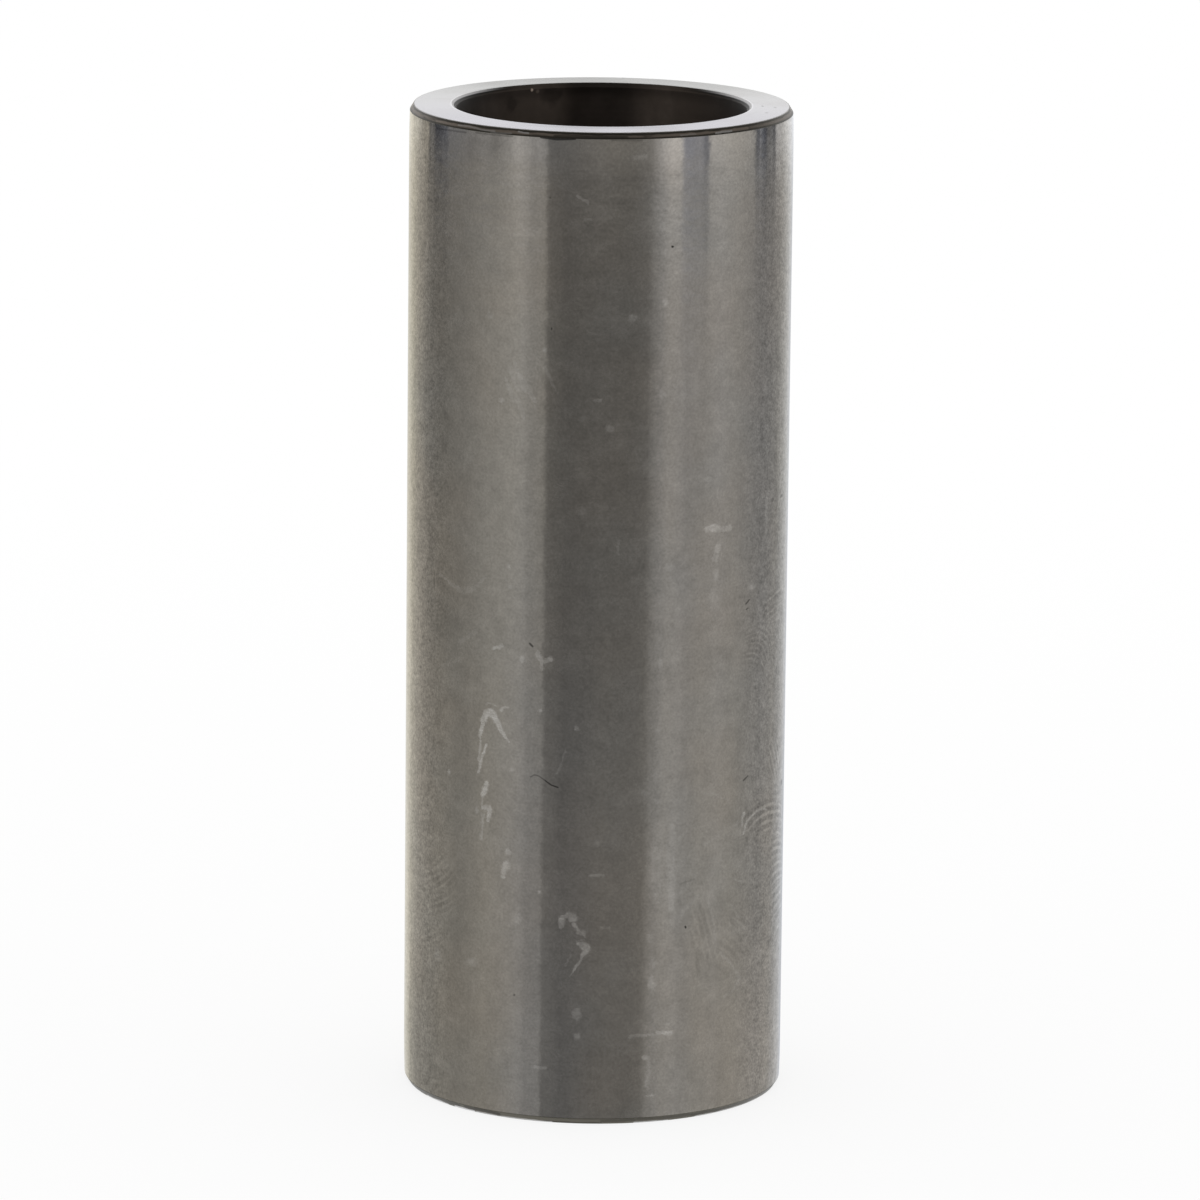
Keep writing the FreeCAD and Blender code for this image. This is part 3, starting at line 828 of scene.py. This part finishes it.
def dark_edge():
    """The outer edges, never ground: scale, brown or dark by turns, with a painted highlight at the face,
    painted light lines, and painted shade on the lower edge.
    """
    paint = Paint("dark_turned_edge")
    at = paint.unrolled()
    height = paint.parts(at)["Y"]
    across = paint.parts(paint.place((1, 1, 1)))["Y"]
    middle = LENGTH / 2
    # 0 at the wall and 1 at the end face
    from_middle = paint.math("ABSOLUTE", paint.math("SUBTRACT", height, middle))
    share = paint.ramp(from_middle, middle - EDGE_HEIGHT, middle)
    upper = paint.math("GREATER_THAN", height, middle)
    patches = paint.noise((1.6, 1.6, 0.16), detail=4.0, roughness=0.6)
    brown = paint.times(paint.ramp(patches, 0.30, 0.55), paint.ramp(share, 0.02, 0.22))
    scale = paint.mix(brown, SCALE_DARK, SCALE_BROWN)
    # painted shade: the lower edge is dark steel in the shade of the pin's foot
    colour = paint.mix(upper, FOOT_STEEL_IN_SHADE, scale)
    wobble = paint.vector("MULTIPLY", paint.wander((0.9, 0.9, 0.9), detail=3.0), (0.6, 0.16, 0))
    moved = paint.vector("ADD", at, wobble)
    dark = paint.add_strokes(0.0, moved, EDGE_DARK_LINES)
    colour = paint.mix(dark, colour, SCALE_DARK)
    # painted highlights and painted reflections of the lit floor along the edges
    light = paint.add_strokes(0.0, moved, EDGE_PAINTED_HIGHLIGHTS)
    # painted highlight on the upper edge's front corner, next to the face
    front = paint.ramp(across, 1.0, -5.0)
    corner = paint.times(paint.ramp(share, 0.96, 1.0), paint.times(front, upper))
    colour = paint.mix(paint.math("MAXIMUM", light, corner), colour, FACE_LIGHT)
    paint.give("Base Color", colour)
    paint.give("Metallic", 0.9)
    paint.give("Roughness", 0.38)
    return paint.material


# Stains in the bore, below its rear rim; a strength below 0 is a light fleck.
BORE_STAINS = [
    (-9.0, 0.24, (-4.24, 7.60, 59.70)), (-1.2, 0.34, (-3.9, 7.78, 59.60)), (0.45, 1.7, (-3.1, 8.1, 59.3)),
    (0.35, 1.3, (-5.5, 6.7, 58.9)),
]


def dark_bore():
    """The bore and its mouths: brown-black scale, turned round, so it shines in upright streaks, with
    painted reflection and shade across it and painted highlights on the mouths' rims.
    """
    paint = Paint("dark_bore")
    patches = paint.noise((2.5, 2.5, 3.0), detail=4.0, roughness=0.6)
    rings = paint.noise((6.0, 6.0, 0.3), detail=2.0)
    colour = paint.mix(paint.ramp(patches, 0.4, 0.75), BORE_DARK, BORE_LIGHT)
    spot = paint.place((1, 1, 1))
    # painted reflection and shade: darkest straight behind and in front, and in the mouths
    parts = paint.parts(spot)
    beside = paint.math("ABSOLUTE", parts["X"])
    painted_bore_reflection = paint.times(paint.ramp(beside, 1.4, 3.2), paint.ramp(beside, 8.2, 4.4, low=-0.3, high=1.1))
    shade = paint.times_plus(rings, 0.3, paint.math("ADD", painted_bore_reflection, 0.60))
    away = paint.vector("LENGTH", paint.vector("MULTIPLY", spot, (1, 1, 0)))
    # the mouths are darker, most at both sides; their outer rims get a painted highlight at both sides
    mouth = paint.ramp(beside, 4.0, 7.5, low=0.85, high=0.25)
    inside = paint.ramp(away, BORE + 0.02, BORE + 0.10)
    shade = paint.times(shade, paint.times_plus(inside, paint.math("SUBTRACT", mouth, 1.0), 1.0))
    shade = paint.times(shade, paint.ramp(parts["Z"], LENGTH - 0.3, LENGTH - 1.1, low=0.6, high=1.0))
    # painted highlight on the mouths' outer rims at both sides
    painted_rim_highlight = paint.times(paint.ramp(away, BORE + 0.12, BORE + 0.17), paint.ramp(beside, 5.5, 8.0))
    wander = paint.wander((0.7, 0.7, 0.7))
    moved = paint.vector("ADD", spot, paint.scaled(wander, 0.9))
    for strength, size, place in BORE_STAINS:
        stain = paint.vector("DISTANCE", moved if strength > 0 else spot, place)
        shade = paint.times(shade, paint.ramp(stain, size / 2, size / 6, low=1.0, high=1 - strength))
    colour = paint.mix(painted_rim_highlight, paint.scaled(colour, shade), FACE_LIGHT)
    paint.give("Base Color", colour)
    paint.give("Metallic", 0.85)
    paint.give("Roughness", paint.times_plus(rings, 0.1, 0.48))
    paint.turned(0.8)
    return paint.material


pin = in_scene("ground_pin", lathe())
for finish in (turned_face(), dark_edge(), dark_bore()):
    pin.data.materials.append(finish)
for number, zone in enumerate(ZONES):
    pin.data.materials.append(ground_wall(number, zone))
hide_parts("piston_pin")
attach(pin, "root")


# Stage


# The tent's cloths, as the pin's wall mirrors them: (azimuth, light, warmth) from seam to seam.
# Azimuth 0 is the camera's side and positive is to its right. Warmth 1 is cream and -1 is blue.
FLOOR_CLOTH = [
    (-180, 0.76, 0.6), (-168, 0.71, 0.8), (-160, 0.69, 1.0), (-150, 0.525, 1.0), (-140, 0.415, 0.8),
    (-132, 0.342, 0.7), (-121, 0.255, 0.6), (-108, 0.230, 0.65), (-88, 0.262, 0.6), (-72, 0.332, 0.6),
    (-52, 0.390, 0.6), (-46, 0.385, 0.5), (-42, 0.322, 0.5), (-33, 0.308, 0.6), (-31, 0.178, 0.55),
    (-20, 0.138, 0.4), (0, 0.152, 0.4), (20, 0.160, 0.4), (29, 0.184, 0.4), (32, 0.248, 0.3),
    (37, 0.31, 0.2), (42, 0.375, 0.3), (51, 0.378, 0.2), (54, 0.345, 0.2), (66, 0.355, 0.3),
    (78, 0.39, 0.2), (90, 0.365, 0.3), (104, 0.315, 0.2), (118, 0.280, 0.1), (128, 0.308, 0.2),
    (138, 0.346, 0.3), (150, 0.52, 0.1), (162, 0.69, -0.1), (170, 0.66, -0.3), (180, 0.68, -0.4),
]
WALL_CLOTH = [
    (-180, 0.86, 0.6), (-162, 0.88, 0.8), (-150, 0.74, 0.8), (-140, 0.56, 0.7), (-132, 0.39, 0.9),
    (-127, 0.40, 0.9), (-126, 0.15, 0.3), (-124, 0.12, 0.0), (-123, 0.215, 0.0), (-119.5, 0.165, 0.0),
    (-118, 0.068, -1.2), (-112, 0.097, -1.2), (-105, 0.155, -1.0), (-103, 0.24, -0.3), (-80, 0.263, 0.1),
    (-72, 0.305, 0.1), (-66, 0.235, 0.2), (-56, 0.38, 0.2), (-50, 0.56, 0.2), (-40, 0.36, 0.1),
    (-36, 0.405, 0.1), (-33, 0.34, 0.1), (-31, 0.19, 0.1), (-20, 0.19, 0.2), (-10, 0.209, 0.3),
    (0, 0.25, 0.4), (8, 0.244, 0.5), (20, 0.222, 0.5), (30, 0.28, 0.3), (33, 0.40, 0.2), (37, 0.57, 0.1),
    (43, 0.755, 0.2), (49, 0.73, 0.2), (51, 0.38, -0.9), (54, 0.39, -0.9), (60, 0.367, -0.6),
    (63, 0.38, -0.7), (64.5, 0.222, -1.0), (67, 0.225, -1.0), (68.5, 0.61, 0.2), (84, 0.58, 0.4),
    (100, 0.49, 0.4), (105, 0.41, 0.3), (107, 0.14, -1.0), (109, 0.15, -1.0), (111, 0.39, -0.5),
    (113, 0.148, -1.3), (117, 0.078, -1.3), (119, 0.185, 0.0), (124, 0.26, -0.2), (125.5, 0.10, -0.5),
    (128.5, 0.13, -0.5), (130, 0.63, 0.0), (140, 0.66, 0.0), (150, 0.92, -0.1), (160, 1.03, -0.3),
    (180, 0.96, -0.5),
]
# How much lighter the floor's cloth is near the pin than far from it, how much warmer, and how much
# lighter again at the pin's foot.
NEAR_CLOTH = [
    (-180, 1.08, -0.2, 1.0), (-160, 1.08, -0.2, 0.93), (-148, 1.06, -0.2, 0.83), (-132, 1.13, 0.0, 0.84),
    (-120, 1.30, 0.1, 0.94), (-106, 1.30, 0.1, 0.98), (-94, 1.06, 0.1, 1.06), (-80, 1.02, 0.1, 0.98),
    (-70, 1.03, 0.1, 0.88), (-52, 0.93, -0.2, 0.95), (-34, 0.94, -0.4, 1.0), (-30, 1.12, -0.3, 0.98),
    (-12, 1.16, -0.2, 1.02), (4, 1.27, 0.0, 0.93), (20, 1.23, 0.0, 0.93), (34, 1.15, 0.1, 1.0),
    (42, 1.03, 0.1, 1.0), (66, 1.04, 0.2, 1.0), (84, 0.96, 0.25, 1.0), (102, 1.07, 0.25, 1.11),
    (116, 1.18, 0.2, 1.13), (132, 1.17, 0.1, 1.13), (142, 1.06, -0.2, 1.10), (160, 0.98, -0.2, 1.0),
    (180, 0.94, -0.2, 0.96),
]
CREAM = (1.068, 1.012, 0.862)
TENT_DISTANCE = 350.0
TENT_HEIGHT = 260.0
# Rows of the tent: distance out from the pin, height, and shares of the wall's cloth, near cloth and foot.
TENT_ROWS = [
    (0, 0.03, 0, 1, 1), (15, 0.03, 0, 1, 1), (45, 0.03, 0, 1, 0), (70, 0.03, 0, 1, 0),
    (200, 0.03, 0, -0.2, 0), (TENT_DISTANCE, 0.03, 0, -0.5, 0), (TENT_DISTANCE, 6, 0.7, 0, 0),
    (TENT_DISTANCE, 18, 1, 0, 0), (TENT_DISTANCE, 50, 1, 0, 0),
]
# Above the cloths the tent is white behind the pin, grey overhead, and dark over the camera.
BACKDROP_FROM = 100
BACKDROP_LIGHT = 1.0
BACKDROP_HEIGHTS = (70.0, 190.0)
DARK_STRIP = 30
ROOF_LIGHT = 0.22
ROOF_DARK = 0.06
ROOF_WARMTH = 0.5


def cards_only_in_reflections(thing):
    thing.visible_camera = False
    thing.visible_diffuse = False
    thing.visible_shadow = False
    thing.visible_transmission = False
    thing.visible_volume_scatter = False


def cloth_at(cloth, azimuth):
    """The values of a cloth at an azimuth."""
    azimuths, *values = zip(*cloth)
    return np.array([np.interp(azimuth, azimuths, row) for row in values])


def tent():
    """Floor card, walls and roof of the tent. Each strip follows the line on which the wall mirrors it."""
    azimuths = sorted({place[0] for place in FLOOR_CLOTH + WALL_CLOTH + NEAR_CLOTH})
    points, faces, glow = [], [], []

    def add(azimuth, distance, height, light, warmth):
        mirror = math.radians(azimuth)
        normal = mirror / 2
        points.append((
            (OUTSIDE * math.sin(normal) + distance * math.sin(mirror)) * MM,
            -(OUTSIDE * math.cos(normal) + distance * math.cos(mirror)) * MM,
            height * MM,
        ))
        glow.extend(light * (1 + warmth * (c - 1)) for c in CREAM)
        glow.append(1.0)

    for azimuth in azimuths:
        on_floor, on_wall = cloth_at(FLOOR_CLOTH, azimuth), cloth_at(WALL_CLOTH, azimuth)
        lighter, warmer, foot = cloth_at(NEAR_CLOTH, azimuth)
        for distance, height, share, near, at_foot in TENT_ROWS:
            light, warmth = on_floor * (1 - share) + on_wall * share
            light *= (1 + near * (lighter - 1)) * (1 + at_foot * (foot - 1))
            add(azimuth, distance, height, light, warmth + max(near, 0) * warmer)
        roof = ROOF_DARK if abs(azimuth) < DARK_STRIP else ROOF_LIGHT
        back = BACKDROP_LIGHT if abs(azimuth) > BACKDROP_FROM else roof
        for height in BACKDROP_HEIGHTS:
            add(azimuth, TENT_DISTANCE, height, back, 0)
        for distance in (TENT_DISTANCE, 0):
            add(azimuth, distance, TENT_HEIGHT, roof, ROOF_WARMTH)
    rows = len(points) // len(azimuths)
    for strip in range(len(azimuths) - 1):
        for row in range(rows - 1):
            here = strip * rows + row
            faces.append((here, here + rows, here + rows + 1, here + 1))
    mesh = bpy.data.meshes.new("tent")
    mesh.from_pydata(points, [], faces)
    mesh.color_attributes.new("glow", "FLOAT_COLOR", "POINT").data.foreach_set("color", glow)
    paint = Paint("tent_cloth")
    cloth = paint.node("ShaderNodeAttribute", attribute_name="glow").outputs["Color"]
    mesh.materials.append(paint.surface(paint.node("ShaderNodeEmission", {"Color": cloth})))
    cards_only_in_reflections(in_scene("tent", mesh))


FLOOR_RADIUS = 600.0
FLOOR_SIDES = 96
FLOOR_PAINT = (0.95, 0.95, 0.95, 1)
# How much of the floor's look is its own white, near the pin and from SHADOW_REACH outwards.
WHITE_NEAR = 0.82
SHADOW_REACH = (40.0, 220.0)


def floor():
    """A pale round floor that looks white from the camera and keeps the pin's shadow."""
    turns = (2 * math.pi * k / FLOOR_SIDES for k in range(FLOOR_SIDES))
    rim = [(FLOOR_RADIUS * MM * math.cos(turn), FLOOR_RADIUS * MM * math.sin(turn), 0) for turn in turns]
    mesh = bpy.data.meshes.new("floor")
    mesh.from_pydata(rim, [], [tuple(range(FLOOR_SIDES))])
    paint = Paint("pale_floor")
    diffuse = paint.node("ShaderNodeBsdfDiffuse", {"Color": FLOOR_PAINT})
    white = paint.node("ShaderNodeEmission", {"Color": WHITE, "Strength": 1.0})
    path = paint.node("ShaderNodeLightPath").outputs
    seen = paint.math("MAXIMUM", path["Is Camera Ray"], path["Is Glossy Ray"])
    seen = paint.math("MAXIMUM", seen, path["Is Transmission Ray"])
    away = paint.vector("LENGTH", paint.place((1, 1, 1)))
    share = paint.times(seen, paint.ramp(away, *SHADOW_REACH, low=WHITE_NEAR, high=1.0))
    mixed = paint.node("ShaderNodeMixShader", {0: share, 1: diffuse.outputs[0], 2: white.outputs[0]})
    mesh.materials.append(paint.surface(mixed))
    in_scene("floor", mesh)


def world():
    made = bpy.data.worlds.new("studio")
    bpy.context.scene.world = made
    made.use_nodes = True
    background = made.node_tree.nodes["Background"]
    background.inputs["Color"].default_value = WHITE
    background.inputs["Strength"].default_value = 1.0


# Where the camera stands, in pin radii from the foot, and how it points, in degrees.
CAMERA_PLACE = (0, -43.315, 11.638)
CAMERA_DOWN = 11.8055
CAMERA_RIGHT = 0.024
CAMERA_ROLL = 0.603
FOCAL_PIXELS = 8409.2
FRAME_PIXELS = 1200
SENSOR_WIDTH = 36.0


def camera():
    data = bpy.data.cameras.new("camera")
    data.sensor_width = SENSOR_WIDTH
    data.lens = SENSOR_WIDTH * FOCAL_PIXELS / FRAME_PIXELS
    data.clip_start = 0.01
    data.clip_end = 20.0
    thing = in_scene("camera", data)
    pitch, yaw, roll = (math.radians(a) for a in (CAMERA_DOWN, CAMERA_RIGHT, CAMERA_ROLL))
    ahead = Vector((math.sin(yaw), math.cos(yaw), 0))
    right = Vector((math.cos(yaw), -math.sin(yaw), 0))
    up = Vector((0, 0, 1))
    forward = math.cos(pitch) * ahead - math.sin(pitch) * up
    upward = math.sin(pitch) * ahead + math.cos(pitch) * up
    rolled_right = math.cos(roll) * right + math.sin(roll) * upward
    rolled_up = math.cos(roll) * upward - math.sin(roll) * right
    turned = Matrix((rolled_right, rolled_up, -forward)).transposed()
    thing.matrix_world = Matrix.Translation(Vector(CAMERA_PLACE) * OUTSIDE * MM) @ turned.to_4x4()
    bpy.context.scene.camera = thing


tent()
floor()
world()
camera()
bpy.context.scene.view_settings.view_transform = "Standard"
